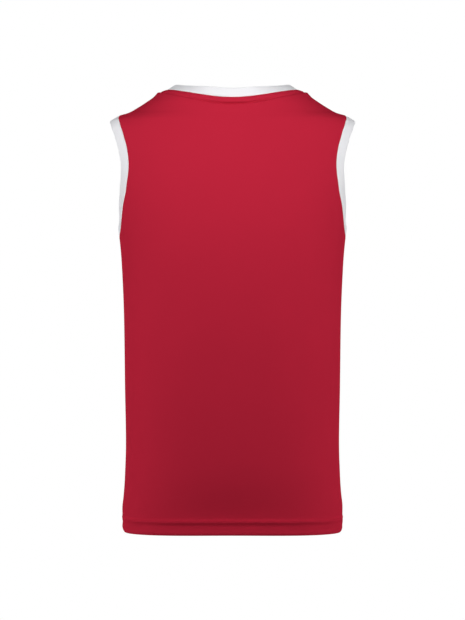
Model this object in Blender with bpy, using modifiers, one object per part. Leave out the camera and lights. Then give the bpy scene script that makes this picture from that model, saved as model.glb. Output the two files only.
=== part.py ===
"""A sleeveless basketball jersey, filled out as when worn, with nobody in it.

Metres. +Z is up, +Y is the wearer's front and +X the wearer's right. The origin is level with the middle of
the shoulder seams, half way between them, where the wearer's shoulders carry the garment.

The body is a loft of horizontal sections. Each section is a superellipse with its own half width, back depth
and front depth, so the back and front panels are two halves of one surface that meet at y = 0, along the side
seams and the shoulder seams. The armholes and the neck are cut out of that surface, and narrow bands carry
on from their edges.
"""

import math

import bpy
import numpy as np

# Cloth and seams
WALL = 0.0012  # thickness of the body knit
BAND_WALL = 0.0016  # the bands are folded double
GAP = 0.0003  # left between the two panels at a seam
BAND_GAP = 0.0004  # left between a panel's edge and its band

# Heights
HEM_Z = -0.7033
UNDERARM_Z = -0.220
TIP_Z = -0.0217  # outer end of the shoulder seam
NECK_POINT_Z = 0.0207  # inner end of the shoulder seam
NECK_POINT_X = 0.108

# Body sections, from the hem to the underarm, past the armhole and up the slope of the shoulder seam.
# Beside the armhole the half width is that of the whole shoulder, which the opening cuts short.
SECTION_COLUMNS = ("z", "half_width", "back", "front", "square")
SECTIONS = (
    (HEM_Z, 0.1805, 0.1235, 0.1215, 2.95),
    (-0.676, 0.1809, 0.1244, 0.1220, 2.85),
    (-0.620, 0.1773, 0.1254, 0.1228, 2.60),
    (-0.560, 0.1754, 0.1260, 0.1240, 2.44),
    (-0.470, 0.1769, 0.1264, 0.1262, 2.40),
    (-0.360, 0.1784, 0.1266, 0.1290, 2.40),
    (-0.265, 0.1823, 0.1262, 0.1308, 2.40),
    (UNDERARM_Z, 0.1864, 0.1245, 0.1304, 2.40),
    (-0.190, 0.1925, 0.1216, 0.1286, 2.38),
    (-0.155, 0.2015, 0.1167, 0.1254, 2.32),
    (-0.120, 0.2110, 0.1104, 0.1204, 2.26),
    (-0.088, 0.2200, 0.1034, 0.1138, 2.20),
    (-0.064, 0.2240, 0.0971, 0.1064, 2.20),
    (-0.044, 0.2205, 0.0912, 0.0989, 2.20),
    (-0.030, 0.2078, 0.0863, 0.0921, 2.20),
    (TIP_Z, 0.1868, 0.0830, 0.0880, 2.20),
    (-0.0174, 0.1725, 0.0814, 0.0860, 2.20),
    (-0.0092, 0.1572, 0.0782, 0.0820, 2.20),
    (0.0058, 0.1344, 0.0716, 0.0740, 2.20),
    (0.0174, 0.1176, 0.0580, 0.0590, 2.20),
    (NECK_POINT_Z, NECK_POINT_X, 0.0500, 0.0500, 2.20),
)

# Shallow hollow behind, above the hem: its depth as a share of the section's, and its reach across and up
HOLLOW_DEPTH = 0.115
HOLLOW_Z = -0.690
HOLLOW_REACH = (0.095, 0.056)

# Armhole, by degrees round it from the shoulder down to the underarm: its reach back and forward of the seams,
# and how far its band bends in from the panels' surface, in degrees
ARMHOLE_COLUMNS = ("turn", "back", "front", "bend")
ARMHOLE = (
    (0.0, 0.0000, 0.0000, 15.0),
    (12.0, 0.0258, 0.0300, 12.0),
    (24.0, 0.0435, 0.0520, 8.0),
    (36.0, 0.0541, 0.0660, 6.0),
    (50.0, 0.0626, 0.0780, 5.0),
    (65.0, 0.0691, 0.0865, 5.0),
    (85.0, 0.0729, 0.0915, 8.0),
    (105.0, 0.0694, 0.0885, 10.0),
    (120.0, 0.0613, 0.0800, 13.0),
    (140.0, 0.0484, 0.0640, 14.0),
    (160.0, 0.0310, 0.0400, 8.0),
    (180.0, 0.0000, 0.0000, 0.0),
)

# Neckline
NECK_DROP = {"back": 0.0166, "front": 0.1107}  # below the neck point, at the middle
BACK_NECK_FLATNESS = 0.7  # 0 is a half cosine, 1 a quarter cosine

# Bands
BAND_WIDTH = 0.0165
NECKBAND_WIDTH = 0.0168
NECKBAND_LEAN = {"middle": 22.0, "side": 57.0}  # degrees in from upright, behind
NECKBAND_LEANS_FROM = (0.2, 0.9)  # shares of the way to the shoulder seam between those two
NECKBAND_SETTLING = 2.0  # how soon the band lies down flat in front of the shoulder seam

# Mesh
BODY_ROWS = 9
ARMHOLE_ROWS = 16
SHOULDER_ROWS = 6
COLUMNS = 12
EDGE_CELL = 0.004  # last column of a panel, so that its rim lies square to the seam
ROW_SAMPLES = 120

SIDE_SIGN = {"back": -1.0, "front": 1.0}

COLLECTION_NAME = "basketball_jersey"
RED = (0.46, 0.016, 0.045)
WHITE = (0.82, 0.82, 0.84)


def monotone_curve(knots, values):
    """A smooth curve through the knots that never overshoots them, as a function."""
    knots = np.asarray(knots, float)
    values = np.asarray(values, float)
    steps = np.diff(knots)
    rises = np.diff(values) / steps
    slopes = np.empty_like(values)
    slopes[0] = rises[0]
    slopes[-1] = rises[-1]
    for i in range(1, len(values) - 1):
        before, after = rises[i - 1], rises[i]
        if before * after <= 0.0:
            slopes[i] = 0.0
        else:
            near = 2.0 * steps[i] + steps[i - 1]
            far = steps[i] + 2.0 * steps[i - 1]
            slopes[i] = (near + far) / (near / before + far / after)

    def curve(at):
        at = np.clip(at, knots[0], knots[-1])
        cell = np.clip(np.searchsorted(knots, at) - 1, 0, len(steps) - 1)
        step = steps[cell]
        t = (at - knots[cell]) / step
        start = (1.0 + 2.0 * t) * (1.0 - t) ** 2 * values[cell]
        leave = t * (1.0 - t) ** 2 * step * slopes[cell]
        end = t * t * (3.0 - 2.0 * t) * values[cell + 1]
        arrive = t * t * (t - 1.0) * step * slopes[cell + 1]
        return start + leave + end + arrive

    return curve


def table_curves(columns, table):
    """Each column of a table but the first, as a curve over the first."""
    values = np.array(table)
    return {name: monotone_curve(values[:, 0], values[:, i]) for i, name in enumerate(columns) if i > 0}


SECTION = table_curves(SECTION_COLUMNS, SECTIONS)
ARMHOLE_CURVE = table_curves(ARMHOLE_COLUMNS, ARMHOLE)


def hollow(x, z, side):
    """The share of the section's depth that the hollow above the hem takes away."""
    if side == "front":
        return 0.0
    across, up = HOLLOW_REACH
    return HOLLOW_DEPTH * np.exp(-((x / across) ** 2) - ((z - HOLLOW_Z) / up) ** 2)


def surface_point(share, z, side):
    """The point of the body's right half at this share of the way from the middle (0) to the side (1)."""
    power = 2.0 / SECTION["square"](z)
    angle = np.clip(share, 0.0, 1.0) * math.pi / 2.0
    x = SECTION["half_width"](z) * np.sin(angle) ** power
    y = SIDE_SIGN[side] * SECTION[side](z) * np.abs(np.cos(angle)) ** power
    return np.stack([x, y * (1.0 - hollow(x, z, side)), np.broadcast_to(z, np.shape(x))], axis=-1)


def share_at_x(x, z):
    ratio = np.clip(x / SECTION["half_width"](z), 0.0, 1.0)
    return np.arcsin(ratio ** (SECTION["square"](z) / 2.0)) * 2.0 / math.pi


def share_at_y(y, z, side):
    ratio = np.clip(np.abs(y) / SECTION[side](z), 0.0, 1.0)
    return np.arccos(ratio ** (SECTION["square"](z) / 2.0)) * 2.0 / math.pi


def armhole_edge(turn, side):
    """Share and height on the armhole seam; turn runs from 0 at the shoulder to pi at the underarm."""
    middle = (TIP_Z + UNDERARM_Z) / 2.0
    z = middle + (TIP_Z - middle) * np.cos(turn)
    return share_at_y(ARMHOLE_CURVE[side](np.degrees(turn)), z, side), z


def neck_edge(across, side):
    """Share and height on the neckline; across runs from 0 at the middle to 1 at the shoulder seam."""
    if side == "back":
        x = NECK_POINT_X * across
        half = (1.0 - np.cos(math.pi * across)) / 2.0
        quarter = 1.0 - np.cos(math.pi * across / 2.0)
        climb = half + (quarter - half) * BACK_NECK_FLATNESS
    else:
        x = NECK_POINT_X * np.sin(math.pi * across / 2.0)
        climb = 1.0 - np.cos(math.pi * across / 2.0)
    z = NECK_POINT_Z - NECK_DROP[side] * (1.0 - climb)
    share = share_at_x(x, z)
    return np.where(across >= 1.0, 1.0, share), z


def armhole_stops(side):
    """Share and height of the armhole's corners, from the shoulder seam down to the underarm."""
    shares, heights = armhole_edge(np.linspace(0.0, math.pi, ARMHOLE_ROWS + 1), side)
    shares[0] = 1.0
    shares[-1] = 1.0
    return shares, heights


def outer_edge(side):
    """Share and height of every row's outer end: side seam, armhole, then shoulder seam."""
    armhole_share, armhole_z = armhole_stops(side)
    seam_z = np.linspace(HEM_Z, UNDERARM_Z, BODY_ROWS + 1)[:-1]
    shoulder_z = np.linspace(TIP_Z, NECK_POINT_Z, SHOULDER_ROWS + 1)[1:]
    shares = np.concatenate([np.ones_like(seam_z), armhole_share[::-1], np.ones_like(shoulder_z)])
    return shares, np.concatenate([seam_z, armhole_z[::-1], shoulder_z])


def even_row(points):
    """A row resampled to even columns, with one narrow column at its outer end."""
    lengths = np.concatenate([[0.0], np.cumsum(np.linalg.norm(np.diff(points, axis=0), axis=1))])
    stops = np.append(np.linspace(0.0, lengths[-1] - EDGE_CELL, COLUMNS), lengths[-1])
    return np.stack([np.interp(stops, lengths, points[:, axis]) for axis in range(3)], axis=-1)


def panel_rows(side):
    """Rows of points over the right half of a panel, from the hem up to the neckline.

    Below the underarm a row is level. Above it, each row is the neckline's own curve drawn down towards the
    level of the underarm, and stops where it meets the armhole or the shoulder seam.
    """
    neck_share, neck_z = neck_edge(np.linspace(0.0, 1.0, ROW_SAMPLES), side)
    rows = []
    for end_share, end_z in zip(*outer_edge(side)):
        share = np.linspace(0.0, end_share, ROW_SAMPLES)
        climb = (np.interp(share, neck_share, neck_z) - UNDERARM_Z) / (
            np.interp(end_share, neck_share, neck_z) - UNDERARM_Z
        )
        z = UNDERARM_Z + (end_z - UNDERARM_Z) * (climb if end_z > UNDERARM_Z else 1.0)
        row = surface_point(share, z, side)
        row[:, 1] += SIDE_SIGN[side] * GAP / 2.0
        rows.append(even_row(row))
    return np.array(rows)


def add_object(name, vertices, faces, material, collection):
    mesh = bpy.data.meshes.new(name)
    mesh.from_pydata([tuple(v) for v in vertices], [], faces)
    mesh.materials.append(material)
    mesh.shade_smooth()
    made = bpy.data.objects.new(name, mesh)
    collection.objects.link(made)
    return made


def grid_faces(rows, columns, closed, flip):
    """Quads of a grid of points, stored column by column within each row."""
    faces = []
    for row in range(rows if closed else rows - 1):
        upper = (row + 1) % rows
        for column in range(columns - 1):
            quad = (
                row * columns + column,
                row * columns + column + 1,
                upper * columns + column + 1,
                upper * columns + column,
            )
            faces.append(quad[::-1] if flip else quad)
    return faces


def thicken(made, wall):
    solidify = made.modifiers.new("Solidify", "SOLIDIFY")
    solidify.thickness = wall
    solidify.offset = -1.0


def make_panel(side, material, collection):
    """The panel as a mirrored half, and its half neckline."""
    rows = panel_rows(side)
    faces = grid_faces(rows.shape[0], rows.shape[1], False, side == "front")
    panel = add_object(side, rows.reshape(-1, 3), faces, material, collection)
    mirror = panel.modifiers.new("Mirror", "MIRROR")
    mirror.merge_threshold = 0.0001
    thicken(panel, WALL)
    return rows[-1]


def seam_tangents(ring):
    """Unit directions along a closed ring of points."""
    along = np.roll(ring, -1, axis=0) - np.roll(ring, 1, axis=0)
    return along / np.linalg.norm(along, axis=1, keepdims=True)


def armhole_ring():
    """The right armhole seam as a closed ring, with the directions in which its band leaves the panels."""
    ring = []
    normals = []
    bends = []
    degrees = np.linspace(0.0, 180.0, ARMHOLE_ROWS + 1)
    for side, first, order in (("back", 0, 1), ("front", 1, -1)):
        shares, heights = armhole_stops(side)
        stops = list(zip(shares, heights, degrees))[first : len(shares) - first][::order]
        for share, z, turn in stops:
            point = surface_point(share, z, side)
            if share < 1.0:
                point[1] += SIDE_SIGN[side] * GAP / 2.0
            ring.append(point)
            normals.append(surface_normal(share, z, side))
            bends.append(math.radians(ARMHOLE_CURVE["bend"](turn)))
    ring = np.array(ring)
    normals = np.array(normals)
    bends = np.array(bends)[:, None]
    out = np.cross(normals, seam_tangents(ring))
    out /= np.linalg.norm(out, axis=1, keepdims=True)
    return ring, out * np.cos(bends) - normals * np.sin(bends)


def surface_normal(share, z, side):
    """The outward normal of the body's surface, by small steps along and up it."""
    step = 0.0005
    share = min(share, 1.0 - step)
    across = surface_point(share + step, z, side) - surface_point(share - step, z, side)
    up = surface_point(share, z + step, side) - surface_point(share, z - step, side)
    normal = np.cross(across, up) * -SIDE_SIGN[side]
    return normal / np.linalg.norm(normal)


def band_rows(ring, across, width):
    """Three points across a band at each corner of its seam, clear of the panels' edge."""
    return np.stack([ring + across * (BAND_GAP + (width - BAND_GAP) * share) for share in (0.0, 0.5, 1.0)], axis=1)


def make_armband(name, sign, material, collection):
    ring, out = armhole_ring()
    rows = band_rows(ring, out, BAND_WIDTH)
    rows[..., 0] *= sign
    faces = grid_faces(rows.shape[0], rows.shape[1], True, sign < 0.0)
    band = add_object(name, rows.reshape(-1, 3), faces, material, collection)
    thicken(band, BAND_WALL)
    return band


def neck_ring(necklines):
    """The neck seam as a closed ring, from the middle of the back over the right shoulder and round."""
    back, front = necklines["back"], necklines["front"]
    right = np.concatenate([back, front[-2::-1]])
    right[len(back) - 1, 1] = 0.0
    left = right[-2:0:-1] * np.array([-1.0, 1.0, 1.0])
    return np.concatenate([right, left])


def neckband_directions(ring):
    """Which way the neckband leaves its seam: it stands up the neck behind and lies flat on the chest."""
    tangent = seam_tangents(ring)
    inward = np.stack([-tangent[:, 1], tangent[:, 0], np.zeros(len(ring))], axis=-1)
    inward /= np.linalg.norm(inward, axis=1, keepdims=True)
    reach = np.minimum(np.abs(ring[:, :1]) / NECK_POINT_X, 1.0)
    side_part = reach**2
    start, end = NECKBAND_LEANS_FROM
    along = np.clip((reach - start) / (end - start), 0.0, 1.0)
    leaning = along**2 * (3.0 - 2.0 * along)
    lean = np.radians(NECKBAND_LEAN["middle"] * (1.0 - leaning) + NECKBAND_LEAN["side"] * leaning)
    standing = inward * np.sin(lean) + np.array([0.0, 0.0, 1.0]) * np.cos(lean)
    normals = []
    for x, y, z in ring:
        normal = surface_normal(share_at_x(abs(x), z), z, "back" if y < 0.0 else "front")
        normals.append(normal * (math.copysign(1.0, x), 1.0, 1.0))
    lying = np.cross(np.array(normals), tangent)
    lying /= np.linalg.norm(lying, axis=1, keepdims=True)
    stand = np.where(ring[:, 1:2] > 0.0, side_part**NECKBAND_SETTLING, 1.0)
    across = standing * stand + lying * (1.0 - stand)
    return across / np.linalg.norm(across, axis=1, keepdims=True)


def make_neckband(necklines, material, collection):
    ring = neck_ring(necklines)
    rows = band_rows(ring, neckband_directions(ring), NECKBAND_WIDTH)
    faces = grid_faces(rows.shape[0], rows.shape[1], True, True)
    band = add_object("neckband", rows.reshape(-1, 3), faces, material, collection)
    thicken(band, BAND_WALL)
    return band


def cloth_material(name, colour, roughness):
    material = bpy.data.materials.new(name)
    material.use_nodes = True
    shader = material.node_tree.nodes["Principled BSDF"]
    shader.inputs["Base Color"].default_value = (*colour, 1.0)
    shader.inputs["Roughness"].default_value = roughness
    shader.inputs["Metallic"].default_value = 0.0
    return material


def main():
    for old in list(bpy.data.objects):
        bpy.data.objects.remove(old)
    collection = bpy.data.collections.new(COLLECTION_NAME)
    bpy.context.scene.collection.children.link(collection)
    necklines = {
        side: make_panel(side, cloth_material(f"{side}_knit", RED, 0.7), collection) for side in SIDE_SIGN
    }
    make_neckband(necklines, cloth_material("neckband_knit", WHITE, 0.75), collection)
    make_armband("armband_right", 1.0, cloth_material("armband_right_knit", WHITE, 0.75), collection)
    make_armband("armband_left", -1.0, cloth_material("armband_left_knit", WHITE, 0.75), collection)


main()
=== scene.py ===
"""The looks of a sleeveless basketball jersey, filled out as when worn, with nobody in it.

Two knit panels are lofted on the same level sections as the solids of the frame, then given their hem, seams,
topstitching and soft folds. A neckband and two armbands of white knit, folded double, carry on from them.
"""

import math

import bmesh
import bpy
import numpy as np
from bpy.props import FloatProperty, FloatVectorProperty, PointerProperty
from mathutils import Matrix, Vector
from mathutils.kdtree import KDTree


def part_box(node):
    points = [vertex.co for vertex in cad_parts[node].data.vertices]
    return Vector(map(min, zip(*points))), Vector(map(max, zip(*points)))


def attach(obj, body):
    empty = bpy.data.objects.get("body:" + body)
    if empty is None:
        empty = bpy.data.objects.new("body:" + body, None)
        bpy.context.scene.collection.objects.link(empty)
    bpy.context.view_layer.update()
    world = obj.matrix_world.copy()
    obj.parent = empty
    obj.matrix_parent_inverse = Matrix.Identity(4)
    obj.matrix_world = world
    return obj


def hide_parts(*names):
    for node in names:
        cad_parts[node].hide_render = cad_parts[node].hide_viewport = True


bl_info = {
    "name": "Basketball Jersey",
    "version": (1, 0, 0),
    "blender": (4, 5, 0),
    "location": "View3D > Sidebar > Jersey",
    "description": "Builds a sleeveless knit jersey with contrast bands",
    "category": "Object",
}

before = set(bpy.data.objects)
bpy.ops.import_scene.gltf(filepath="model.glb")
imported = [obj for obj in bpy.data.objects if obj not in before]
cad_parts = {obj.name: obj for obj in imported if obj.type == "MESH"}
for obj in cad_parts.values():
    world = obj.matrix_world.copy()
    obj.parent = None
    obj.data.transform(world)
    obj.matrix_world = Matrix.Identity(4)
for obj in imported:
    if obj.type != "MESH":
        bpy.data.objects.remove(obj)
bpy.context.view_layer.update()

BACK_LOW, BACK_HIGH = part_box("back")
FRONT_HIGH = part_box("front")[1]

HEM_Z = BACK_LOW.z
NECK_POINT_Z = BACK_HIGH.z
HEIGHT = NECK_POINT_Z - HEM_Z
HALF_WIDTH = BACK_HIGH.x
DEPTH = {"back": -BACK_LOW.y, "front": FRONT_HIGH.y}

MM = 0.001

# Level sections of the body, as shares of its height, half width and depths. Beside the armhole the half
# width is that of the whole shoulder, which the opening cuts short. A square of 2 is an ellipse, and more is
# squarer.
SECTION_COLUMNS = ("rise", "half_width", "back", "front", "square")
SECTIONS = (
    (0.0000, 0.966, 0.974, 0.928, 2.95),
    (0.0377, 0.968, 0.981, 0.932, 2.85),
    (0.1151, 0.949, 0.989, 0.938, 2.60),
    (0.1979, 0.939, 0.994, 0.947, 2.44),
    (0.3222, 0.947, 0.997, 0.964, 2.40),
    (0.4742, 0.955, 0.999, 0.985, 2.40),
    (0.6054, 0.976, 0.996, 0.999, 2.40),
    (0.6675, 0.998, 0.982, 0.996, 2.40),
    (0.7090, 1.031, 0.959, 0.982, 2.38),
    (0.7573, 1.079, 0.921, 0.958, 2.32),
    (0.8057, 1.130, 0.871, 0.919, 2.26),
    (0.8499, 1.178, 0.816, 0.869, 2.20),
    (0.8830, 1.199, 0.766, 0.813, 2.20),
    (0.9106, 1.180, 0.720, 0.755, 2.20),
    (0.9300, 1.112, 0.681, 0.703, 2.20),
    (0.9414, 1.000, 0.655, 0.672, 2.20),
    (0.9474, 0.923, 0.642, 0.657, 2.20),
    (0.9587, 0.842, 0.617, 0.626, 2.20),
    (0.9794, 0.719, 0.565, 0.565, 2.20),
    (0.9954, 0.630, 0.458, 0.451, 2.20),
    (1.0000, 0.578, 0.394, 0.382, 2.20),
)
UNDERARM_RISE = 0.6675
TIP_RISE = 0.9414  # outer end of the shoulder seam
UNDERARM_Z = HEM_Z + HEIGHT * UNDERARM_RISE
TIP_Z = HEM_Z + HEIGHT * TIP_RISE
NECK_POINT_X = HALF_WIDTH * SECTIONS[-1][1]

# Shallow hollow behind, above the hem: its depth as a share of the section's, its height as a share of the
# body's, and its reach across and up as shares of the half width and the height
HOLLOW_DEPTH = 0.115
HOLLOW_RISE = 0.0184
HOLLOW_REACH = (0.509, 0.0773)

# Armhole, by degrees round it from the shoulder down to the underarm: its reach back and forward of the seams
# as shares of the depths, and how far its band bends in from the panels' surface, in degrees
ARMHOLE_COLUMNS = ("turn", "back", "front", "bend")
ARMHOLE = (
    (0.0, 0.000, 0.000, 15.0),
    (12.0, 0.204, 0.229, 12.0),
    (24.0, 0.343, 0.397, 8.0),
    (36.0, 0.427, 0.504, 6.0),
    (50.0, 0.494, 0.596, 5.0),
    (65.0, 0.545, 0.661, 5.0),
    (85.0, 0.575, 0.699, 8.0),
    (105.0, 0.548, 0.676, 10.0),
    (120.0, 0.484, 0.611, 13.0),
    (140.0, 0.382, 0.489, 14.0),
    (160.0, 0.245, 0.305, 8.0),
    (180.0, 0.000, 0.000, 0.0),
)
NECK_DROP = {"back": 0.0229, "front": 0.1529}  # at the middle, as shares of the height
BACK_NECK_FLATNESS = 0.7  # 0 is a half cosine, 1 a quarter cosine

# How the neckband leans in from upright behind, in degrees, where between the middle and the shoulder seam it
# changes from one to the other, and how soon it lies down in front
NECKBAND_LEAN = {"middle": 22.0, "side": 57.0}
NECKBAND_LEANS_FROM = (0.2, 0.9)
NECKBAND_SETTLING = 2.0

# Grid of a panel
HEM_ROWS = 30
BODY_ROWS = 110
ARMHOLE_ROWS = 64
SHOULDER_ROWS = 66
HEM_ZONE = 0.036  # height of the closely spaced rows
COLUMNS = 54
EDGE_STOPS = (0.012, 0.0095, 0.0072, 0.0052, 0.0036, 0.0024, 0.0014, 0.0006, 0.0)  # from the outer edge
ROW_SAMPLES = 400
SMALL_STEP = 0.0005
LINE_STEP = 0.0004
RIM_STEPS = 4

SIDE_SIGN = {"back": -1.0, "front": 1.0}

# Cross-section of the hem in millimetres: how far the cloth stands proud in the middle and at the side seams,
# by height above the edge
HEM_COLUMNS = ("above", "middle", "side")
HEM_SECTION = (
    (0.0, -1.0, -2.3),
    (1.0, 0.0, -1.5),
    (2.5, 0.55, -0.8),
    (4.0, 0.55, -0.3),
    (6.0, 0.2, 0.0),
    (8.0, -0.15, 0.0),
    (10.0, -0.4, 0.0),
    (12.0, -0.6, 0.0),
    (14.0, -0.7, -0.05),
    (15.6, -0.65, -0.1),
    (17.0, -0.2, -0.1),
    (18.3, 0.7, -0.05),
    (19.4, 1.6, 0.05),
    (20.4, 2.3, 0.2),
    (21.3, 2.4, 0.35),
    (22.4, 1.8, 0.5),
    (23.6, 0.55, 0.5),
    (25.0, -0.9, 0.3),
    (26.2, -1.75, 0.1),
    (28.5, -2.2, 0.0),
    (32.0, -2.55, 0.0),
    (40.0, -2.8, 0.0),
    (60.0, -2.0, 0.0),
    (85.0, -0.7, 0.0),
    (110.0, 0.0, 0.0),
)
HEM_TURNS_SIDE = (0.66, 0.30)  # where one gives way to the other, and over how much of the way out
HEM_TURNS_PAST = 0.8 * MM  # how far the turned cloth goes past its stitching
WALL_BLEND = 1.2 * MM  # over which the wall grows to take in turned cloth

# Cross-section of the cloth below the neckline in millimetres: the strip over the seam allowance, the groove
# of its topstitching and, near the shoulders, the puff of cloth beyond it
STRIP_COLUMNS = ("below", "proud", "puff")
STRIP_SECTION = (
    (0.0, -0.8, 0.0),
    (0.9, 1.3, 0.0),
    (2.2, 1.8, 0.0),
    (5.0, 1.7, 0.0),
    (7.5, 1.4, 0.0),
    (9.0, 0.8, 0.1),
    (10.0, -1.2, 0.2),
    (10.9, -3.0, 0.3),
    (11.5, -3.3, 0.4),
    (12.1, -2.2, 0.6),
    (13.0, -0.2, 0.9),
    (14.0, 0.3, 1.3),
    (15.5, 0.35, 1.9),
    (19.0, 0.2, 1.0),
    (26.0, 0.0, 0.0),
)
STRIP_SIDE_SHARE = 0.3  # of the strip's relief, left where it comes to the shoulder seams
PUFF_REACH = 0.030  # of the puff from the shoulder seams

# Cross-section of the cloth beside a seam in millimetres
SEAM_COLUMNS = ("beside", "proud")
SEAM_SECTION = ((0.0, -0.8), (0.7, -0.3), (1.6, 0.0), (3.2, 0.2), (6.0, 0.1), (9.0, 0.0))
SHOULDER_SEAM_SHARE = 0.4  # of that relief, at the shoulder seams

# Cross-section of a band, folded double, in millimetres: across its outer face from the seam to the fold, and
# how far it stands proud there
BAND_SECTION = (
    (0.0, -1.0),
    (0.6, -0.45),
    (1.5, -0.05),
    (3.0, 0.1),
    (8.0, 0.25),
    (12.5, 0.2),
    (14.6, 0.05),
)
BAND_FOLD_STEPS = 6

# Soft folds. Each runs from one place to another on its panel, in shares of the panel's reach across from the
# middle and of the height up from the hem: side, from across, from up, to across, to up, then its width and
# its depth in millimetres. A depth below zero is a trough.
FOLDS = (
    ("back", -0.46, 0.36, -0.34, 0.64, 24.0, -1.3),
    ("back", 0.44, 0.34, 0.36, 0.66, 22.0, -1.4),
    ("back", -0.74, 0.14, -0.66, 0.42, 17.0, 1.0),
    ("back", 0.72, 0.12, 0.67, 0.40, 18.0, 1.1),
    ("back", -0.86, 0.07, -0.60, 0.16, 11.0, -0.8),
    ("back", 0.88, 0.06, 0.62, 0.15, 12.0, -0.8),
    ("back", -0.90, 0.62, -0.62, 0.53, 12.0, -0.7),
    ("back", 0.92, 0.61, 0.64, 0.55, 13.0, -0.7),
    ("back", -0.95, 0.009, -0.74, 0.024, 3.6, 0.7),
    ("back", -0.84, 0.006, -0.58, 0.017, 3.4, -0.6),
    ("back", 0.96, 0.025, 0.70, 0.011, 3.6, 0.8),
    ("back", 0.80, 0.018, 0.52, 0.007, 3.4, -0.6),
    ("back", -0.96, 0.045, -0.78, 0.090, 9.0, 0.9),
    ("back", 0.96, 0.050, 0.80, 0.095, 9.0, 0.8),
    ("back", -0.30, 0.88, -0.16, 0.74, 20.0, 0.8),
    ("back", 0.31, 0.89, 0.15, 0.73, 19.0, 0.8),
    ("front", -0.42, 0.30, -0.30, 0.60, 24.0, -1.4),
    ("front", 0.45, 0.33, 0.33, 0.62, 22.0, -1.3),
    ("front", -0.75, 0.12, -0.66, 0.38, 17.0, 1.1),
    ("front", 0.73, 0.14, 0.68, 0.41, 18.0, 1.0),
    ("front", -0.88, 0.64, -0.55, 0.57, 14.0, -1.0),
    ("front", 0.90, 0.62, 0.58, 0.58, 13.0, -0.9),
    ("front", -0.50, 0.86, -0.28, 0.74, 16.0, 0.9),
    ("front", 0.48, 0.85, 0.30, 0.75, 17.0, 0.9),
    ("front", -0.12, 0.72, 0.02, 0.60, 20.0, -0.7),
)
FOLD_FADE = 2.2  # how fast a fold comes and goes at the ends of its run
FOLD_OVERRUN = 0.35  # and how much of it is left there


def length_property(name, description, default):
    return FloatProperty(name=name, description=description, default=default, unit="LENGTH")


def colour_property(name, description, default):
    return FloatVectorProperty(name=name, description=description, default=default, subtype="COLOR")


def share_property(name, description, default):
    return FloatProperty(
        name=name, description=description, default=default, subtype="FACTOR", min=0.0, max=1.0
    )


class JerseySizes(bpy.types.PropertyGroup):
    """Sizes of the cloth, its bands and its stitches."""

    cloth: length_property("Cloth", "Thickness of the body knit", 0.9 * MM)
    allowance: length_property("Allowance", "Thickness that turned-in cloth adds at a seam", 0.8 * MM)
    allowance_width: length_property("Allowance width", "Width of the turned-in cloth", 6.5 * MM)
    hem: length_property("Hem", "Height of the hem's stitching above its edge", 20.6 * MM)
    strip: length_property("Neck strip", "Width of the topstitched strip below the neck", 11.6 * MM)
    armband: length_property("Armband", "Width of the armbands", 16.5 * MM)
    neckband: length_property("Neckband", "Width of the neckband", 16.8 * MM)
    band_wall: length_property("Band thickness", "Thickness of a band, folded double", 1.7 * MM)
    stitch: length_property("Stitch", "Length of a stitch", 2.5 * MM)
    stitch_gap: length_property("Stitch gap", "Gap between two stitches", 0.5 * MM)
    thread: length_property("Thread", "Thickness of the thread", 0.32 * MM)
    needle_gap: length_property("Needle gap", "Distance between the rows of a twin needle", 4.0 * MM)


class JerseyColours(bpy.types.PropertyGroup):
    """Colours and finish of the knits."""

    body: colour_property("Body", "Colour of the body knit", (0.53, 0.0190, 0.0460))
    band: colour_property("Bands", "Colour of the bands", (0.91, 0.91, 0.935))
    floor: colour_property("Floor", "Colour of the floor", (0.86, 0.86, 0.86))
    body_roughness: share_property("Body roughness", "Roughness of the body knit", 0.62)
    band_roughness: share_property("Band roughness", "Roughness of the bands", 0.7)


class KnitSizes(bpy.types.PropertyGroup):
    """Scale and relief of the interlock knit."""

    wale: length_property("Wale", "Width of one column of loops", 0.85 * MM)
    course: length_property("Course", "Height of one row of loops", 0.7 * MM)
    relief: length_property("Relief", "Depth of the loops", 0.09 * MM)


def sizes():
    return bpy.context.scene.jersey_sizes


def colours():
    return bpy.context.scene.jersey_colours


# ---------------------------------------------------------------- the body's form


def monotone_curve(knots, values):
    """A smooth curve through the knots that never overshoots them, as a function."""
    knots = np.asarray(knots, float)
    values = np.asarray(values, float)
    steps = np.diff(knots)
    rises = np.diff(values) / steps
    slopes = np.empty_like(values)
    slopes[0] = rises[0]
    slopes[-1] = rises[-1]
    for i in range(1, len(values) - 1):
        before, after = rises[i - 1], rises[i]
        if before * after <= 0.0:
            slopes[i] = 0.0
        else:
            near = 2.0 * steps[i] + steps[i - 1]
            far = steps[i] + 2.0 * steps[i - 1]
            slopes[i] = (near + far) / (near / before + far / after)

    def curve(at):
        at = np.clip(at, knots[0], knots[-1])
        cell = np.clip(np.searchsorted(knots, at) - 1, 0, len(steps) - 1)
        step = steps[cell]
        t = (at - knots[cell]) / step
        start = (1.0 + 2.0 * t) * (1.0 - t) ** 2 * values[cell]
        leave = t * (1.0 - t) ** 2 * step * slopes[cell]
        end = t * t * (3.0 - 2.0 * t) * values[cell + 1]
        arrive = t * t * (t - 1.0) * step * slopes[cell + 1]
        return start + leave + end + arrive

    return curve


def table_curve(columns, table, name):
    """One column of a table in millimetres, as a curve in metres over the table's first column."""
    values = np.array(table)
    return monotone_curve(values[:, 0] * MM, values[:, columns.index(name)] * MM)


def section_curves():
    """Each column of SECTIONS but the first, in metres, as a curve over the height."""
    table = np.array(SECTIONS)
    heights = HEM_Z + HEIGHT * table[:, 0]
    scale = {"half_width": HALF_WIDTH, "square": 1.0, **DEPTH}
    return {
        name: monotone_curve(heights, table[:, column] * scale[name])
        for column, name in enumerate(SECTION_COLUMNS)
        if column > 0
    }


SECTION = section_curves()


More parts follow.
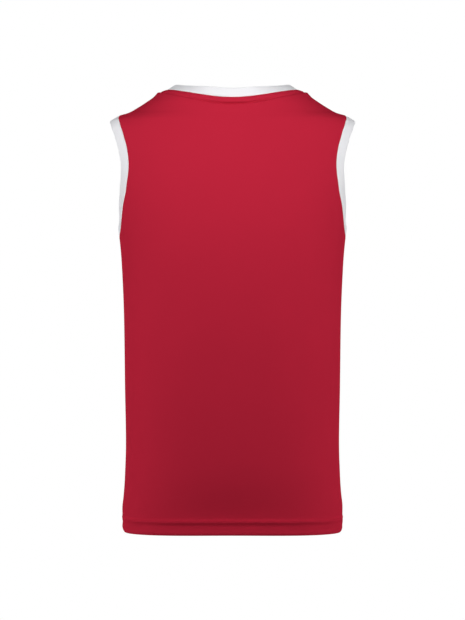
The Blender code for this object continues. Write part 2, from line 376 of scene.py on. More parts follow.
def armhole_curves():
    """Round the armhole, its reach back and forward of the seams in metres, and the bend of its band."""
    table = np.array(ARMHOLE)
    scale = {"bend": math.radians(1.0), **DEPTH}
    return {
        name: monotone_curve(table[:, 0], table[:, ARMHOLE_COLUMNS.index(name)] * size)
        for name, size in scale.items()
    }


ARMHOLE_CURVE = armhole_curves()


def hollow(x, z, side):
    """The share of the section's depth that the hollow above the hem takes away."""
    if side == "front":
        return 0.0
    across = x / (HALF_WIDTH * HOLLOW_REACH[0])
    up = (z - HEM_Z - HEIGHT * HOLLOW_RISE) / (HEIGHT * HOLLOW_REACH[1])
    return HOLLOW_DEPTH * np.exp(-(across**2) - up**2)


def surface_point(share, z, side):
    """The point of the body's right half at this share of the way from the middle (0) to the side (1)."""
    power = 2.0 / SECTION["square"](z)
    angle = np.clip(share, 0.0, 1.0) * math.pi / 2.0
    x = SECTION["half_width"](z) * np.sin(angle) ** power
    y = SIDE_SIGN[side] * SECTION[side](z) * np.abs(np.cos(angle)) ** power
    return np.stack([x, y * (1.0 - hollow(x, z, side)), np.broadcast_to(z, np.shape(x))], axis=-1)


def surface_normal(share, z, side):
    """Outward normals of the body's right half, from small steps across and up it."""
    share = np.minimum(share, 1.0 - SMALL_STEP)
    lower = np.maximum(z - SMALL_STEP, HEM_Z)
    upper = np.minimum(z + SMALL_STEP, NECK_POINT_Z)
    before = surface_point(np.maximum(share - SMALL_STEP, 0.0), z, side)
    across = surface_point(share + SMALL_STEP, z, side) - before
    up = surface_point(share, upper, side) - surface_point(share, lower, side)
    return unit(np.cross(across, up) * -SIDE_SIGN[side])


def unit(vectors):
    return vectors / np.linalg.norm(vectors, axis=-1, keepdims=True)


def lengths_along(line):
    """How far along a line of points each of them is."""
    return np.concatenate([[0.0], np.cumsum(np.linalg.norm(np.diff(line, axis=0), axis=1))])


def values_along(at, lengths, values):
    """What three values for each point of a line come to at some distances along it."""
    return np.stack([np.interp(at, lengths, values[:, axis]) for axis in range(3)], axis=-1)


def share_at_x(x, z):
    ratio = np.clip(x / SECTION["half_width"](z), 0.0, 1.0)
    return np.arcsin(ratio ** (SECTION["square"](z) / 2.0)) * 2.0 / math.pi


def share_at_y(y, z, side):
    ratio = np.clip(np.abs(y) / SECTION[side](z), 0.0, 1.0)
    return np.arccos(ratio ** (SECTION["square"](z) / 2.0)) * 2.0 / math.pi


def armhole_edge(turn, side):
    """Share and height on the armhole seam; turn runs from 0 at the shoulder to pi at the underarm."""
    middle = (TIP_Z + UNDERARM_Z) / 2.0
    z = middle + (TIP_Z - middle) * np.cos(turn)
    return share_at_y(ARMHOLE_CURVE[side](np.degrees(turn)), z, side), z


def neck_edge(across, side):
    """Share and height on the neckline; across runs from 0 at the middle to 1 at the shoulder seam."""
    if side == "back":
        x = NECK_POINT_X * across
        half = (1.0 - np.cos(math.pi * across)) / 2.0
        quarter = 1.0 - np.cos(math.pi * across / 2.0)
        climb = half + (quarter - half) * BACK_NECK_FLATNESS
    else:
        x = NECK_POINT_X * np.sin(math.pi * across / 2.0)
        climb = 1.0 - np.cos(math.pi * across / 2.0)
    z = NECK_POINT_Z - HEIGHT * NECK_DROP[side] * (1.0 - climb)
    share = share_at_x(x, z)
    return np.where(across >= 1.0, 1.0, share), z


def shoulder_heights():
    """Heights that part the shoulder seam into even stretches, from its tip to the neck."""
    fine = np.linspace(TIP_Z, NECK_POINT_Z, ROW_SAMPLES)
    ridge = np.stack([SECTION["half_width"](fine), fine], axis=-1)
    lengths = lengths_along(ridge)
    return np.interp(np.linspace(0.0, lengths[-1], SHOULDER_ROWS + 1)[1:], lengths, fine)


def outer_edge(side):
    """Share and height of every row's outer end: side seam, armhole, then shoulder seam."""
    hem = np.linspace(HEM_Z, HEM_Z + HEM_ZONE, HEM_ROWS + 1)[:-1]
    body = np.linspace(HEM_Z + HEM_ZONE, UNDERARM_Z, BODY_ROWS + 1)[:-1]
    armhole_share, armhole_z = armhole_edge(np.linspace(math.pi, 0.0, ARMHOLE_ROWS + 1), side)
    armhole_share[[0, -1]] = 1.0
    shoulder = shoulder_heights()
    straight = np.ones(len(hem) + len(body))
    shares = np.concatenate([straight, armhole_share, np.ones_like(shoulder)])
    return shares, np.concatenate([hem, body, armhole_z, shoulder])


def row_stops(length):
    """Distances along a row: even columns, then narrow ones towards its outer end."""
    even = np.linspace(0.0, length - EDGE_STOPS[0], COLUMNS)
    return np.concatenate([even, length - np.array(EDGE_STOPS[1:])])


class PanelForm:
    """A panel's seamless outer surface as a grid: rows from hem to neckline, columns from left to right."""

    def __init__(self, side):
        self.side = side
        points, normals, across = self.right_half()
        mirror = np.array([-1.0, 1.0, 1.0])
        self.points = np.concatenate([points[:, :0:-1] * mirror, points], axis=1)
        self.normals = np.concatenate([normals[:, :0:-1] * mirror, normals], axis=1)
        self.across = np.concatenate([-across[:, :0:-1], across], axis=1)
        self.above_hem = self.points[..., 2] - HEM_Z
        self.reach = across[0, -1]
        underarm = HEM_ROWS + BODY_ROWS
        tip = underarm + ARMHOLE_ROWS
        armhole_rows = slice(underarm, tip + 1)
        self.below_neck = distances(self.points, [self.points[-1]])
        self.from_side = self.from_ends(slice(0, underarm + 1))
        self.from_armhole = self.from_ends(armhole_rows)
        self.from_shoulder = self.from_ends(slice(tip, None))
        self.armhole = (self.points[armhole_rows, -1], self.normals[armhole_rows, -1])

    def from_ends(self, rows):
        """How far each point is from the outer ends of some rows."""
        return distances(self.points, [self.points[rows, 0], self.points[rows, -1]])

    def right_half(self):
        """Points, normals and distances from the middle, row by row.

        Below the underarm a row is level. Above it, each row is the neckline's own curve, drawn down towards
        the level of the underarm, and stops where it meets the armhole or the shoulder seam.
        """
        neck_share, neck_z = neck_edge(np.linspace(0.0, 1.0, ROW_SAMPLES), self.side)
        points, normals, across = [], [], []
        for end_share, end_z in zip(*outer_edge(self.side)):
            share = np.linspace(0.0, end_share, ROW_SAMPLES)
            neckline_rise = np.interp(share, neck_share, neck_z) - UNDERARM_Z
            climb = neckline_rise / (np.interp(end_share, neck_share, neck_z) - UNDERARM_Z)
            z = UNDERARM_Z + (end_z - UNDERARM_Z) * (climb if end_z > UNDERARM_Z else 1.0)
            row = surface_point(share, z, self.side)
            lengths = lengths_along(row)
            stops = row_stops(lengths[-1])
            share = np.interp(stops, lengths, share)
            z = np.interp(stops, lengths, np.broadcast_to(z, lengths.shape))
            points.append(surface_point(share, z, self.side))
            normal = surface_normal(share, z, self.side)
            normal[0, 0] = 0.0
            normal[share >= 1.0, 1] = 0.0
            normals.append(unit(normal))
            across.append(stops)
        return np.array(points), np.array(normals), np.array(across)


FORMS = {}


def panel_form(side):
    """A side's form, worked out once for all the pieces that need it."""
    if side not in FORMS:
        FORMS[side] = PanelForm(side)
    return FORMS[side]


def distances(points, lines):
    """How far each point is from the nearest of some lines, each a row of points."""
    stops = []
    for line in lines:
        lengths = lengths_along(line)
        even = np.linspace(0.0, lengths[-1], max(2, int(lengths[-1] / LINE_STEP)))
        stops.append(values_along(even, lengths, line))
    stops = np.concatenate(stops)
    tree = KDTree(len(stops))
    for index, stop in enumerate(stops):
        tree.insert(stop, index)
    tree.balance()
    found = [tree.find(point)[2] for point in points.reshape(-1, 3)]
    return np.array(found).reshape(points.shape[:-1])


# ---------------------------------------------------------------- what sewing and wear add to it


def smooth_step(value):
    value = np.clip(value, 0.0, 1.0)
    return value * value * (3.0 - 2.0 * value)


def fold_relief(form):
    """The soft folds of a panel, added up."""
    across = form.across / form.reach
    rise = form.above_hem / HEIGHT
    relief = np.zeros_like(across)
    for side, from_across, from_rise, to_across, to_rise, width, depth in FOLDS:
        if side != form.side:
            continue
        run = np.array([(to_across - from_across) * form.reach, (to_rise - from_rise) * HEIGHT])
        length = np.hypot(*run)
        east = (across - from_across) * form.reach
        north = (rise - from_rise) * HEIGHT
        along = (east * run[0] + north * run[1]) / length**2
        beside = (east * run[1] - north * run[0]) / length
        coming = smooth_step(along * FOLD_FADE + FOLD_OVERRUN)
        going = smooth_step((1.0 - along) * FOLD_FADE + FOLD_OVERRUN)
        relief += depth * MM * (coming * going) * np.exp(-((beside / (width * MM)) ** 2))
    return relief


def panel_relief(form):
    """How far each point of a panel stands proud of the seamless surface."""
    start, span = HEM_TURNS_SIDE
    sideways = smooth_step((np.abs(form.across) / form.reach - start) / span)
    middle, side = (table_curve(HEM_COLUMNS, HEM_SECTION, name) for name in HEM_COLUMNS[1:])
    hem = middle(form.above_hem) * (1.0 - sideways) + side(form.above_hem) * sideways
    strip = table_curve(STRIP_COLUMNS, STRIP_SECTION, "proud")(form.below_neck)
    strip *= 1.0 - (1.0 - STRIP_SIDE_SHARE) * smooth_step(np.abs(form.points[..., 0]) / NECK_POINT_X)
    puff = table_curve(STRIP_COLUMNS, STRIP_SECTION, "puff")(form.below_neck)
    seam = table_curve(SEAM_COLUMNS, SEAM_SECTION, "proud")
    near_shoulder = np.exp(-((form.from_shoulder / PUFF_REACH) ** 2))
    shoulder_seam = seam(form.from_shoulder) * SHOULDER_SEAM_SHARE
    beside = [seam(form.from_side), seam(form.from_armhole), shoulder_seam]
    lowest = np.minimum.reduce(beside)
    seams = np.where(lowest < 0.0, lowest, np.maximum.reduce(beside))
    return hem + strip + puff * near_shoulder + seams + fold_relief(form)


def panel_thickness(form):
    """The wall, thicker where the cloth is turned in at the hem, the neck and the seams."""
    s = sizes()
    turnings = (
        (form.above_hem, s.hem + HEM_TURNS_PAST),
        (form.below_neck, s.strip),
        (form.from_side, s.allowance_width),
        (form.from_armhole, s.allowance_width),
        (form.from_shoulder, s.allowance_width),
    )
    turned = [smooth_step((width - distance) / WALL_BLEND + 0.5) for distance, width in turnings]
    return s.cloth + s.allowance * np.maximum.reduce(turned)


# ---------------------------------------------------------------- meshes


def add_mesh(name, vertices, faces, material, uvs=None):
    """A smooth mesh object. uvs holds one pair for each vertex, in metres of cloth."""
    mesh = bpy.data.meshes.new(name)
    mesh.from_pydata(np.asarray(vertices).tolist(), [], np.asarray(faces).tolist())
    mesh.materials.append(material)
    if uvs is not None:
        layer = mesh.uv_layers.new(name="cloth")
        corners = np.zeros(len(mesh.loops), np.int32)
        mesh.loops.foreach_get("vertex_index", corners)
        layer.data.foreach_set("uv", np.asarray(uvs, float)[corners].ravel())
    mesh.shade_smooth()
    mesh.validate()
    made = bpy.data.objects.new(name, mesh)
    bpy.context.scene.collection.objects.link(made)
    return made


def quads(index, closed_rows, closed_columns):
    """Quads between neighbours in a grid of vertex numbers, which may close on itself either way."""
    rows = np.concatenate([index, index[:1]]) if closed_rows else index
    grid = np.concatenate([rows, rows[:, :1]], axis=1) if closed_columns else rows
    return np.stack([grid[:-1, :-1], grid[:-1, 1:], grid[1:, 1:], grid[1:, :-1]], axis=-1).reshape(-1, 4)


def round_edge(first, last, away):
    """Rows of points that close the wall along an edge in half a circle, between two rows."""
    middle = (first + last) / 2.0
    radius = (first - last) / 2.0
    reach = np.linalg.norm(radius, axis=-1, keepdims=True)
    turns = [math.pi * (step + 1) / (RIM_STEPS + 1) for step in range(RIM_STEPS)]
    return np.array([middle + radius * math.cos(turn) + away * reach * math.sin(turn) for turn in turns])


def make_panel(form, material):
    """A panel as a closed shell, flat at the neckline and rounded at the hem."""
    outer = form.points + form.normals * panel_relief(form)[..., None]
    inner = outer - form.normals * panel_thickness(form)[..., None]
    top = round_edge(outer[-1], inner[-1], np.zeros(3))
    bottom = round_edge(inner[0], outer[0], np.array([0.0, 0.0, -1.0]))
    rows = np.concatenate([outer, top, inner[::-1], bottom])
    index = np.arange(rows.shape[0] * rows.shape[1]).reshape(rows.shape[:2])
    faces = [quads(index, True, False)]
    count = len(outer)
    outer_index = index[:count]
    inner_index = index[count + RIM_STEPS : 2 * count + RIM_STEPS][::-1]
    for column, flip in ((0, False), (-1, True)):
        ends = np.stack([outer_index[:, column], inner_index[:, column]], axis=1)
        cap = quads(ends, False, False)
        faces.append(cap[:, ::-1] if flip else cap)
    faces = np.concatenate(faces)
    if form.side == "front":
        faces = faces[:, ::-1]
    top_across = form.across[-1:].repeat(RIM_STEPS, 0)
    bottom_across = form.across[:1].repeat(RIM_STEPS, 0)
    across = np.concatenate([form.across, top_across, form.across[::-1], bottom_across])
    uvs = np.stack([across, rows[..., 2]], axis=-1)
    panel = add_mesh(f"{form.side}_panel", rows.reshape(-1, 3), faces, material, uvs.reshape(-1, 2))
    close_rims(panel)
    return panel, outer


def close_rims(piece):
    """Fills the holes left at the ends of rounded edges and stitches, and turns every face outward."""
    mesh = bmesh.new()
    mesh.from_mesh(piece.data)
    bmesh.ops.holes_fill(mesh, edges=[edge for edge in mesh.edges if edge.is_boundary], sides=0)
    bmesh.ops.recalc_face_normals(mesh, faces=mesh.faces)
    for face in mesh.faces:
        face.smooth = True
    mesh.to_mesh(piece.data)
    mesh.free()


def band_profile(width, wall):
    """Closed cross-section of a band: outer face, the fold at its free edge, inner face back to the seam."""
    table = np.array(BAND_SECTION) * MM
    outer = table * np.array([(width - wall / 2.0) / (BAND_SECTION[-1][0] * MM), 1.0])
    fold = []
    for step in range(1, BAND_FOLD_STEPS):
        turn = math.pi * step / BAND_FOLD_STEPS
        across = outer[-1][0] + wall / 2.0 * math.sin(turn)
        fold.append((across, outer[-1][1] - wall / 2.0 + wall / 2.0 * math.cos(turn)))
    inner = outer[::-1] - np.array([0.0, wall])
    inner[-1, 1] = outer[0, 1] - wall / 2.0
    return np.concatenate([outer, np.array(fold), inner])


def make_band(name, ring, out, normals, width, material):
    """A band swept along a closed seam: ring of points, the way it leaves the seam and the way it faces."""
    profile = band_profile(width, sizes().band_wall)
    rows = ring[:, None] + out[:, None] * profile[None, :, :1] + normals[:, None] * profile[None, :, 1:]
    index = np.arange(rows.shape[0] * rows.shape[1]).reshape(rows.shape[:2])
    uvs = np.stack(np.meshgrid(lengths_along(profile), lengths_along(ring)), axis=-1)
    band = add_mesh(name, rows.reshape(-1, 3), quads(index, True, True), material, uvs.reshape(-1, 2))
    close_rims(band)
    return band


def seam_tangents(ring):
    """Unit directions along a closed ring of points."""
    return unit(np.roll(ring, -1, axis=0) - np.roll(ring, 1, axis=0))


def joined(back, front):
    """A closed ring from the back's row and the front's, which share their ends."""
    return np.concatenate([back, front[-2:0:-1]])


def armhole_ring():
    """The right armhole seam, up the back and down the front, with the ways its band leaves and faces."""
    ring, normals = (joined(*rows) for rows in zip(panel_form("back").armhole, panel_form("front").armhole))
    turns = np.linspace(180.0, 0.0, ARMHOLE_ROWS + 1)
    bend = ARMHOLE_CURVE["bend"](joined(turns, turns))[:, None]
    tangent = seam_tangents(ring)
    out = unit(np.cross(tangent, normals))
    facing = unit(np.cross(out, tangent))
    return ring, out * np.cos(bend) - facing * np.sin(bend), facing * np.cos(bend) + out * np.sin(bend)


def neck_ring():
    """The neck seam as a closed ring, with the way the cloth faces along it."""
    back, front = panel_form("back"), panel_form("front")
    return joined(back.points[-1], front.points[-1]), joined(back.normals[-1], front.normals[-1])


def neckband_directions(ring, surface_normals):
    """Which way the neckband leaves its seam: it stands up the neck behind and lies flat on the chest."""
    tangent = seam_tangents(ring)
    inward = unit(np.stack([-tangent[:, 1], tangent[:, 0], np.zeros(len(ring))], axis=-1))
    reach = np.minimum(np.abs(ring[:, :1]) / NECK_POINT_X, 1.0)
    side_part = reach**2
    start, end = NECKBAND_LEANS_FROM
    leaning = smooth_step((reach - start) / (end - start))
    lean = np.radians(NECKBAND_LEAN["middle"] * (1.0 - leaning) + NECKBAND_LEAN["side"] * leaning)
    standing = inward * np.sin(lean) + np.array([0.0, 0.0, 1.0]) * np.cos(lean)
    lying = unit(np.cross(surface_normals, tangent))
    stand = np.where(ring[:, 1:2] > 0.0, side_part**NECKBAND_SETTLING, 1.0)
    return unit(standing * stand + lying * (1.0 - stand))


# ---------------------------------------------------------------- stitches


def contour(form, outer, field, level):
    """Where a field crosses a level in each column, with the way the cloth faces there."""
    points, normals = [], []
    for column in range(field.shape[1]):
        values = field[:, column]
        crossings = np.nonzero((values[:-1] - level) * (values[1:] - level) <= 0.0)[0]
        if len(crossings) == 0:
            continue
        row = crossings[-1]
        t = (level - values[row]) / (values[row + 1] - values[row])
        points.append(outer[row, column] * (1.0 - t) + outer[row + 1, column] * t)
        normals.append(form.normals[row, column] * (1.0 - t) + form.normals[row + 1, column] * t)
    return np.array(points), unit(np.array(normals))


# A stitch as rings: share of the way along it, girth as a share of the thread's, and lift in threads
STITCH_SIDES = 6
STITCH_RINGS = (
    (0.0, 0.25, -0.45),
    (0.12, 0.8, -0.1),
    (0.35, 1.0, 0.15),
    (0.65, 1.0, 0.15),
    (0.88, 0.8, -0.1),
    (1.0, 0.25, -0.45),
)
STITCH_LIFT = 0.8  # of a ring that lies on the cloth, as a share of the thread's radius


def stitch_row(points, normals):
    """Short stitches along a line on the cloth, as vertices and faces."""
    s = sizes()
    lengths = lengths_along(points)
    pitch = s.stitch + s.stitch_gap
    count = int(lengths[-1] / pitch)
    margin = (lengths[-1] - count * pitch + s.stitch_gap) / 2.0
    starts = margin + pitch * np.arange(count)
    radius = s.thread / 2.0
    rings = []
    for share, girth, lift in STITCH_RINGS:
        at = starts + s.stitch * share
        centre = values_along(at, lengths, points)
        facing = unit(values_along(at, lengths, normals))
        ahead = values_along(at + LINE_STEP, lengths, points)
        behind = values_along(at - LINE_STEP, lengths, points)
        beside = unit(np.cross(facing, unit(ahead - behind)))
        for corner in range(STITCH_SIDES):
            turn = 2.0 * math.pi * corner / STITCH_SIDES
            ring = facing * math.cos(turn) * girth + beside * math.sin(turn) * girth
            rings.append(centre + facing * radius * (1.0 + 2.0 * lift) * STITCH_LIFT + ring * radius)
    shape = (len(STITCH_RINGS), STITCH_SIDES)
    vertices = np.array(rings).reshape(*shape, count, 3).transpose(2, 0, 1, 3)
    per_stitch = shape[0] * shape[1]
    tube = quads(np.arange(per_stitch).reshape(shape), False, True)
    faces = tube[None] + per_stitch * np.arange(count)[:, None, None]
    return vertices.reshape(-1, 3), faces.reshape(-1, 4)


def make_stitches(name, lines, material):
    """Rows of stitches as one piece."""
    vertices, faces, count = [], [], 0
    for points, normals in lines:
        row_vertices, row_faces = stitch_row(points, normals)
        vertices.append(row_vertices)
        faces.append(row_faces + count)
        count += len(row_vertices)
    made = add_mesh(name, np.concatenate(vertices), np.concatenate(faces), material)
    close_rims(made)
    return made


# ---------------------------------------------------------------- materials


KNIT_SLANT = 1.6  # rise of a loop's leg, in courses for each wale
KNIT_ARCH = (0.3, 0.7)  # a loop's own height, and the height of the leg that it stands on

# Scale and detail of the two noises of a knit's tone, the share of the fine one, and their usual sum
SLOW_TONE = (9.0, 3.0)
FINE_TONE = (420.0, 2.0)
FINE_TONE_SHARE = 0.6
TONE_MIDDLE = 0.8

# How far random tone changes the knit's colour, and how dark the painted shade in its dips is
TONE_AND_DIP_SHADE_AMOUNT = 0.05
WEAR = {"range": 0.08, "drop": 0.06}  # how far tone changes the roughness, and from how much below it
RELIEF_STRENGTH = 0.35
CLOTH_SHINE = 0.0
SHEEN_ROUGHNESS = 0.45
KNIT_SHEEN = 0.04
THREAD_ROUGHNESS = 0.5
THREAD_SHEEN = 0.2


class Nodes:
    """A short way to add nodes to a tree and join them."""

    def __init__(self, tree):
        self.tree = tree

    def add(self, kind, **settings):
        node = self.tree.nodes.new(kind)
        for key, value in settings.items():
            setattr(node, key, value)
        return node

    def join(self, source, target):
        self.tree.links.new(source, target)

    def math(self, operation, first, second=None, third=None):
        node = self.add("ShaderNodeMath", operation=operation)
        for socket, value in zip(node.inputs, (first, second, third)):
            if value is None:
                continue
            if isinstance(value, (int, float)):
                socket.default_value = value
            else:
                self.join(value, socket)
        return node.outputs[0]


def new_group(name, inputs, outputs):
    group = bpy.data.node_groups.new(name, "ShaderNodeTree")
    for label, kind, default in inputs:
        socket = group.interface.new_socket(name=label, in_out="INPUT", socket_type=kind)
        if default is not None:
            socket.default_value = default
    for label, kind in outputs:
        group.interface.new_socket(name=label, in_out="OUTPUT", socket_type=kind)
    nodes = Nodes(group)
    return group, nodes, nodes.add("NodeGroupInput"), nodes.add("NodeGroupOutput")


def knit_group():
    """Relief of an interlock knit: columns of V-shaped loops, in metres of cloth, and its dips between them,
    for painted shade.
    """
    name = "interlock_knit"
    if name in bpy.data.node_groups:
        return bpy.data.node_groups[name]
    group, nodes, given, put = new_group(
        name,
        (
            ("Cloth", "NodeSocketVector", None),
            ("Wale", "NodeSocketFloat", 0.85 * MM),
            ("Course", "NodeSocketFloat", 0.7 * MM),
        ),
        (("Height", "NodeSocketFloat"), ("Painted Dip Shade", "NodeSocketFloat")),
    )
    parts = nodes.add("ShaderNodeSeparateXYZ")
    nodes.join(given.outputs["Cloth"], parts.inputs[0])
    wales = nodes.math("DIVIDE", parts.outputs["X"], given.outputs["Wale"])
    courses = nodes.math("DIVIDE", parts.outputs["Y"], given.outputs["Course"])
    offset = nodes.math("ABSOLUTE", nodes.math("SUBTRACT", nodes.math("FRACT", wales), 0.5))
    slant = nodes.math("MULTIPLY_ADD", offset, KNIT_SLANT, courses)
    loop = nodes.math("SINE", nodes.math("MULTIPLY", slant, math.tau))
    leg = nodes.math("SINE", nodes.math("MULTIPLY", offset, math.tau))
    arch = nodes.math("MULTIPLY_ADD", loop, *KNIT_ARCH)
    height = nodes.math("MULTIPLY", leg, arch)
    nodes.join(height, put.inputs["Height"])
    # Painted shade: the dips between the loops, one less the height, go on to darken the colour
    nodes.join(nodes.math("SUBTRACT", 1.0, height), put.inputs["Painted Dip Shade"])
    return group


def tone_and_dip_shade_group():
    """Slow, faint changes of tone that dyeing and handling leave in a knit, and painted shade in the dips of
    its loops.
    """
    name = "cloth_tone"
    if name in bpy.data.node_groups:
        return bpy.data.node_groups[name]
    group, nodes, given, put = new_group(
        name,
        (
            ("Place", "NodeSocketVector", None),
            ("Colour", "NodeSocketColor", (0.5, 0.5, 0.5, 1.0)),
            ("Painted Dip Shade", "NodeSocketFloat", 0.0),
            ("Amount", "NodeSocketFloat", 0.04),
        ),
        (("Colour", "NodeSocketColor"), ("Mask", "NodeSocketFloat")),
    )
    values = []
    for scale, detail in (SLOW_TONE, FINE_TONE):
        noise = nodes.add("ShaderNodeTexNoise")
        noise.inputs["Scale"].default_value = scale
        noise.inputs["Detail"].default_value = detail
        nodes.join(given.outputs["Place"], noise.inputs["Vector"])
        values.append(noise.outputs["Fac"])
    slow, fine = values
    mixed = nodes.math("MULTIPLY_ADD", fine, FINE_TONE_SHARE, slow)
    centred = nodes.math("SUBTRACT", mixed, TONE_MIDDLE)
    change = nodes.math("MULTIPLY", centred, given.outputs["Amount"])
    # Painted shade: the knit's dips darken the colour, scaled by the same amount as the tone
    shade = nodes.math("MULTIPLY", given.outputs["Painted Dip Shade"], given.outputs["Amount"])
    value = nodes.math("SUBTRACT", nodes.math("ADD", change, 1.0), shade)
    tint = nodes.add("ShaderNodeHueSaturation")
    nodes.join(given.outputs["Colour"], tint.inputs["Color"])
    nodes.join(value, tint.inputs["Value"])
    nodes.join(tint.outputs["Color"], put.inputs["Colour"])
    nodes.join(mixed, put.inputs["Mask"])
    return group


def cloth_material(name, colour, roughness, sheen, knit_relief=True):
    """A knit, or its sewing thread when it has no relief."""
    if name in bpy.data.materials:
        return bpy.data.materials[name]
    knit = bpy.context.scene.jersey_knit
    material = bpy.data.materials.new(name)
    material.use_nodes = True
    nodes = Nodes(material.node_tree)
    shader = material.node_tree.nodes["Principled BSDF"]
    shader.inputs["Sheen Weight"].default_value = sheen
    shader.inputs["Sheen Roughness"].default_value = SHEEN_ROUGHNESS
    shader.inputs["Sheen Tint"].default_value = (*colour, 1.0)
    shader.inputs["Specular IOR Level"].default_value = CLOTH_SHINE
    place = nodes.add("ShaderNodeTexCoord")
    # Base colour: random tone, darkened by painted shade in the knit's dips
    tone = nodes.add("ShaderNodeGroup", node_tree=tone_and_dip_shade_group())
    tone.inputs["Colour"].default_value = (*colour, 1.0)
    tone.inputs["Amount"].default_value = TONE_AND_DIP_SHADE_AMOUNT
    nodes.join(place.outputs["Object"], tone.inputs["Place"])
    nodes.join(tone.outputs["Colour"], shader.inputs["Base Color"])
    wear = nodes.math("MULTIPLY_ADD", tone.outputs["Mask"], WEAR["range"], roughness - WEAR["drop"])
    nodes.join(wear, shader.inputs["Roughness"])
    if knit_relief:
        loops = nodes.add("ShaderNodeGroup", node_tree=knit_group())
        loops.inputs["Wale"].default_value = knit.wale
        loops.inputs["Course"].default_value = knit.course
        nodes.join(place.outputs["UV"], loops.inputs["Cloth"])
        # The loops' dips drive the painted shade in the colour
        nodes.join(loops.outputs["Painted Dip Shade"], tone.inputs["Painted Dip Shade"])
        bump = nodes.add("ShaderNodeBump")
        bump.inputs["Strength"].default_value = RELIEF_STRENGTH
        bump.inputs["Distance"].default_value = knit.relief
        nodes.join(loops.outputs["Height"], bump.inputs["Height"])
        nodes.join(bump.outputs["Normal"], shader.inputs["Normal"])
    return material


def body_cloth():
    return cloth_material("body_cloth", colours().body, colours().body_roughness, KNIT_SHEEN)


def band_cloth():
    return cloth_material("band_cloth", colours().band, colours().band_roughness, KNIT_SHEEN)


def body_thread():
    return cloth_material(
        "body_thread", colours().body, THREAD_ROUGHNESS, THREAD_SHEEN, knit_relief=False
    )


# ---------------------------------------------------------------- operators


def finish_piece(piece, node=None):
    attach(piece, "root")
    if node is not None:
        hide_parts(node)


class JERSEY_OT_panels(bpy.types.Operator):
    """Make the back and front panels and their topstitching"""

    bl_idname = "jersey.panels"
    bl_label = "Back and Front"

    def execute(self, context):
        s = sizes()
        for side in SIDE_SIGN:
            form = panel_form(side)
            panel, outer = make_panel(form, body_cloth())
            finish_piece(panel, side)
            lines = [
                contour(form, outer, form.above_hem, s.hem - s.needle_gap / 2.0),
                contour(form, outer, form.above_hem, s.hem + s.needle_gap / 2.0),
                contour(form, outer, form.below_neck, s.strip),
            ]
            stitches = make_stitches(f"{side}_topstitching", lines, body_thread())
            finish_piece(stitches)
        return {"FINISHED"}


class JERSEY_OT_neckband(bpy.types.Operator):
    """Make the neckband"""

    bl_idname = "jersey.neckband"
    bl_label = "Neckband"

    def execute(self, context):
        ring, surface_normals = neck_ring()
        out = neckband_directions(ring, surface_normals)
        facing = unit(np.cross(seam_tangents(ring), out))
        band = make_band("neckband_cloth", ring, out, facing, sizes().neckband, band_cloth())
        finish_piece(band, "neckband")
        return {"FINISHED"}


class JERSEY_OT_armbands(bpy.types.Operator):
    """Make the two armbands"""

    bl_idname = "jersey.armbands"
    bl_label = "Armbands"

    def execute(self, context):
        right = armhole_ring()
        for name, sign in (("armband_right", 1.0), ("armband_left", -1.0)):
            ring, out, facing = (line * np.array([sign, 1.0, 1.0]) for line in right)
            band = make_band(f"{name}_cloth", ring, out, facing, sizes().armband, band_cloth())
            finish_piece(band, name)
        return {"FINISHED"}


# Soft lights: name, place, the point it faces, width, height and watts. Those off the middle stand on both
# sides.
LIGHTS = (
    ("above_behind", (0.0, -0.3, 0.36), (0.0, 0.0, 0.0), 0.2, 0.1, 0.15),
    ("above_before", (0.0, 0.3, 0.36), (0.0, 0.0, 0.0), 0.2, 0.1, 0.1),
    ("key_behind", (0.0, -0.7, 0.3), (0.0, -0.1, -0.1), 0.5, 0.3, 3.4),
    ("fill_behind", (1.2, -0.9, 0.0), (0.0, -0.1, -0.2), 0.5, 0.6, 3.5),
    ("near_behind", (0.8, -0.9, -0.05), (0.0, -0.1, -0.2), 0.4, 0.6, 1.2),
    ("side_behind", (1.3, -0.4, -0.5), (0.0, 0.0, -0.5), 0.5, 0.8, 5.0),
    ("side", (1.3, 0.4, -0.4), (0.0, 0.0, -0.4), 0.5, 1.0, 0.6),
    ("side_before", (0.8, 1.3, -0.5), (0.0, 0.1, -0.5), 0.5, 0.8, 2.8),
    ("near_before", (0.6, 1.1, -0.05), (0.0, 0.1, -0.2), 0.4, 0.6, 1.2),
    ("fill_before", (0.9, 1.2, 0.0), (0.0, 0.1, -0.2), 0.5, 0.6, 3.5),
    ("key_before", (0.0, 0.7, 0.3), (0.0, 0.1, -0.1), 0.5, 0.3, 3.5),
)
FLOOR_DROP = 0.6
FLOOR_RADIUS = 2.2
FLOOR_SIDES = 96
FLOOR_ROUGHNESS = 0.9
FLOOR_GLOW = 0.9  # as the camera sees it only, so that the floor stays pale in every view
CAMERA_DISTANCE = 4.4
CAMERA_LENS = 155.0
SENSOR = 36.0
AMBIENT = 0.0
BACKDROP = 1.0


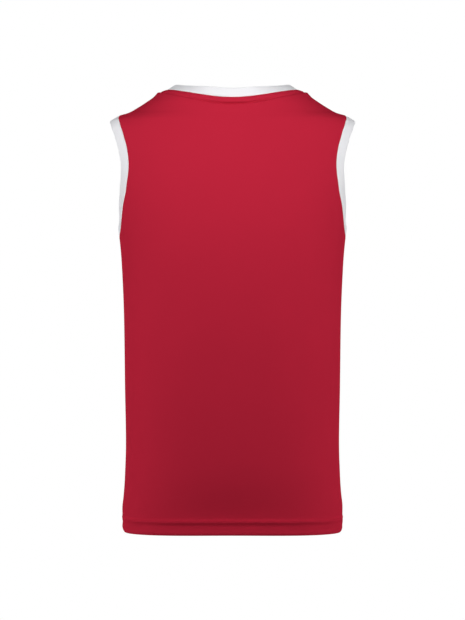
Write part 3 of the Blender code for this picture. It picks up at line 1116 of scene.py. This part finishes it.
class JERSEY_OT_stage(bpy.types.Operator):
    """Set out the floor, the lights, the surroundings and the camera"""

    bl_idname = "jersey.stage"
    bl_label = "Stage"

    def execute(self, context):
        scene = context.scene
        middle = HEM_Z + HEIGHT / 2.0
        below = (0.0, 0.0, HEM_Z - FLOOR_DROP)
        bpy.ops.mesh.primitive_circle_add(
            vertices=FLOOR_SIDES, radius=FLOOR_RADIUS, fill_type="NGON", location=below
        )
        floor = context.object
        floor.name = "floor"
        paint = bpy.data.materials.new("floor_paint")
        paint.use_nodes = True
        shader = paint.node_tree.nodes["Principled BSDF"]
        shader.inputs["Base Color"].default_value = (*colours().floor, 1.0)
        shader.inputs["Roughness"].default_value = FLOOR_ROUGHNESS
        shader.inputs["Emission Color"].default_value = (*colours().floor, 1.0)
        nodes = Nodes(paint.node_tree)
        path = nodes.add("ShaderNodeLightPath")
        shown = nodes.math("MULTIPLY", path.outputs["Is Camera Ray"], FLOOR_GLOW)
        nodes.join(shown, shader.inputs["Emission Strength"])
        floor.data.materials.append(paint)
        for name, place, faces, width, height, watts in LIGHTS:
            for east in (1.0, -1.0) if place[0] else (1.0,):
                mirror = Vector((east, 1.0, 1.0))
                span = (width, height)
                self.add_light(scene, name, Vector(place) * mirror, Vector(faces) * mirror, span, watts)
        self.surround(scene)
        data = bpy.data.cameras.new("camera")
        data.lens = CAMERA_LENS
        data.sensor_width = SENSOR
        camera = bpy.data.objects.new("camera", data)
        camera.location = (0.0, -CAMERA_DISTANCE, middle)
        camera.rotation_euler = (math.pi / 2.0, 0.0, 0.0)
        scene.collection.objects.link(camera)
        scene.camera = camera
        scene.view_settings.view_transform = "Standard"
        return {"FINISHED"}

    def add_light(self, scene, name, place, faces, span, watts):
        data = bpy.data.lights.new(name, "AREA")
        data.shape = "RECTANGLE"
        data.size, data.size_y = span
        data.energy = watts
        light = bpy.data.objects.new(name, data)
        light.location = place
        light.rotation_euler = (faces - place).to_track_quat("-Z", "Y").to_euler()
        light.visible_camera = False
        scene.collection.objects.link(light)

    def surround(self, scene):
        """A white backdrop that the camera sees, and that casts no light of its own on the cloth."""
        world = bpy.data.worlds.new("studio")
        world.use_nodes = True
        nodes = Nodes(world.node_tree)
        soft = world.node_tree.nodes["Background"]
        soft.inputs["Color"].default_value = (1.0, 1.0, 1.0, 1.0)
        soft.inputs["Strength"].default_value = AMBIENT
        shown = nodes.add("ShaderNodeBackground")
        shown.inputs["Color"].default_value = (1.0, 1.0, 1.0, 1.0)
        shown.inputs["Strength"].default_value = BACKDROP
        path = nodes.add("ShaderNodeLightPath")
        mix = nodes.add("ShaderNodeMixShader")
        nodes.join(path.outputs["Is Camera Ray"], mix.inputs[0])
        nodes.join(soft.outputs[0], mix.inputs[1])
        nodes.join(shown.outputs[0], mix.inputs[2])
        nodes.join(mix.outputs[0], world.node_tree.nodes["World Output"].inputs["Surface"])
        scene.world = world


class JERSEY_PT_sidebar(bpy.types.Panel):
    """Sizes, colours and buttons for the jersey"""

    bl_idname = "JERSEY_PT_sidebar"
    bl_label = "Basketball Jersey"
    bl_space_type = "VIEW_3D"
    bl_region_type = "UI"
    bl_category = "Jersey"

    def draw(self, context):
        layout = self.layout
        for attribute, kind in GROUPS:
            box = layout.box()
            for name in kind.__annotations__:
                box.prop(getattr(context.scene, attribute), name)
        for operator in OPERATORS:
            layout.operator(operator.bl_idname)


OPERATORS = (JERSEY_OT_stage, JERSEY_OT_panels, JERSEY_OT_neckband, JERSEY_OT_armbands)
GROUPS = (
    ("jersey_sizes", JerseySizes),
    ("jersey_colours", JerseyColours),
    ("jersey_knit", KnitSizes),
)


def register():
    for name, group in GROUPS:
        bpy.utils.register_class(group)
        setattr(bpy.types.Scene, name, PointerProperty(type=group))
    for operator in OPERATORS:
        bpy.utils.register_class(operator)
    bpy.utils.register_class(JERSEY_PT_sidebar)


def unregister():
    bpy.utils.unregister_class(JERSEY_PT_sidebar)
    for operator in reversed(OPERATORS):
        bpy.utils.unregister_class(operator)
    for name, group in reversed(GROUPS):
        delattr(bpy.types.Scene, name)
        bpy.utils.unregister_class(group)


def main():
    register()
    bpy.ops.jersey.stage()
    bpy.ops.jersey.panels()
    bpy.ops.jersey.neckband()
    bpy.ops.jersey.armbands()


if __name__ == "__main__":
    main()
